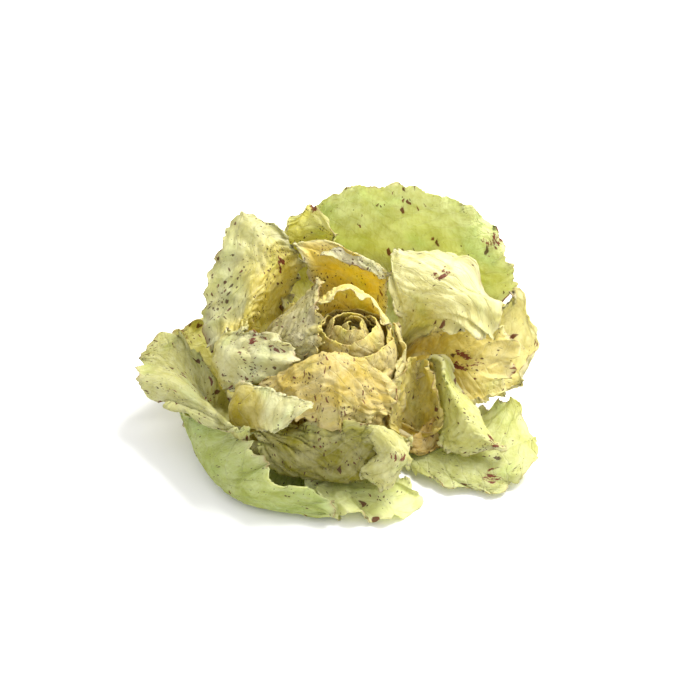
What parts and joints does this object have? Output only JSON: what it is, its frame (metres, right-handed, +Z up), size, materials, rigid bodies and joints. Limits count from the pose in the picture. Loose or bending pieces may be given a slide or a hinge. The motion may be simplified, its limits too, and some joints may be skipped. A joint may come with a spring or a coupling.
{
  "type": "radicchio",
  "caption": "Loose rose-shaped head of pale, speckled radicchio: crinkled leaves in rings round a closed bud, standing on its flat-cut stem.",
  "frame": {"origin": "the middle of the flat cut face of the stem, on which the head stands", "axes": "+Z up, away from the cut face; +X to the right along the longest extent; +Y towards the tall leaf at the back"},
  "size_m": [0.2299, 0.1938, 0.11],
  "materials": {
    "outer_leaf": "thin pale green leaf, satin, with burgundy specks",
    "middle_leaf": "thin cream-green leaf, satin, with burgundy specks and streaks",
    "inner_leaf": "thin ochre-cream crinkled leaf, satin, speckled",
    "bud_leaf": "thin yellow-cream blanched leaf, satin, with fine streaks",
    "stem": "cut cream-coloured stem, dull, browned at the edge"
  },
  "bodies": {
    "root": {"bud_leaf_1": "bud_leaf", "bud_leaf_2": "bud_leaf", "bud_leaf_3": "bud_leaf", "bud_leaf_4": "bud_leaf", "bud_leaf_5": "bud_leaf", "bud_leaf_6": "bud_leaf", "bud_leaf_7": "bud_leaf", "bud_leaf_8": "bud_leaf", "bud_leaf_9": "bud_leaf", "inner_leaf_back": "inner_leaf", "inner_leaf_front": "inner_leaf", "inner_leaf_left": "inner_leaf", "inner_leaf_right": "inner_leaf", "middle_leaf_back_rim": "middle_leaf", "middle_leaf_crest": "middle_leaf", "middle_leaf_folded_tip": "middle_leaf", "middle_leaf_front": "middle_leaf", "middle_leaf_front_lobe": "middle_leaf", "middle_leaf_left_frill": "middle_leaf", "middle_leaf_left_tall": "middle_leaf", "middle_leaf_pocket": "middle_leaf", "middle_leaf_pocket_flap": "middle_leaf", "middle_leaf_ridge": "middle_leaf", "middle_leaf_right_cup": "middle_leaf", "middle_leaf_right_fold": "middle_leaf", "outer_leaf_back": "outer_leaf", "outer_leaf_back_fan": "outer_leaf", "outer_leaf_front": "outer_leaf", "outer_leaf_front_left": "outer_leaf", "outer_leaf_left": "outer_leaf", "outer_leaf_left_rear": "outer_leaf", "outer_leaf_right": "outer_leaf", "outer_leaf_right_back": "outer_leaf", "outer_leaf_right_rear": "outer_leaf", "stem": "stem"}
  },
  "joints": []
}
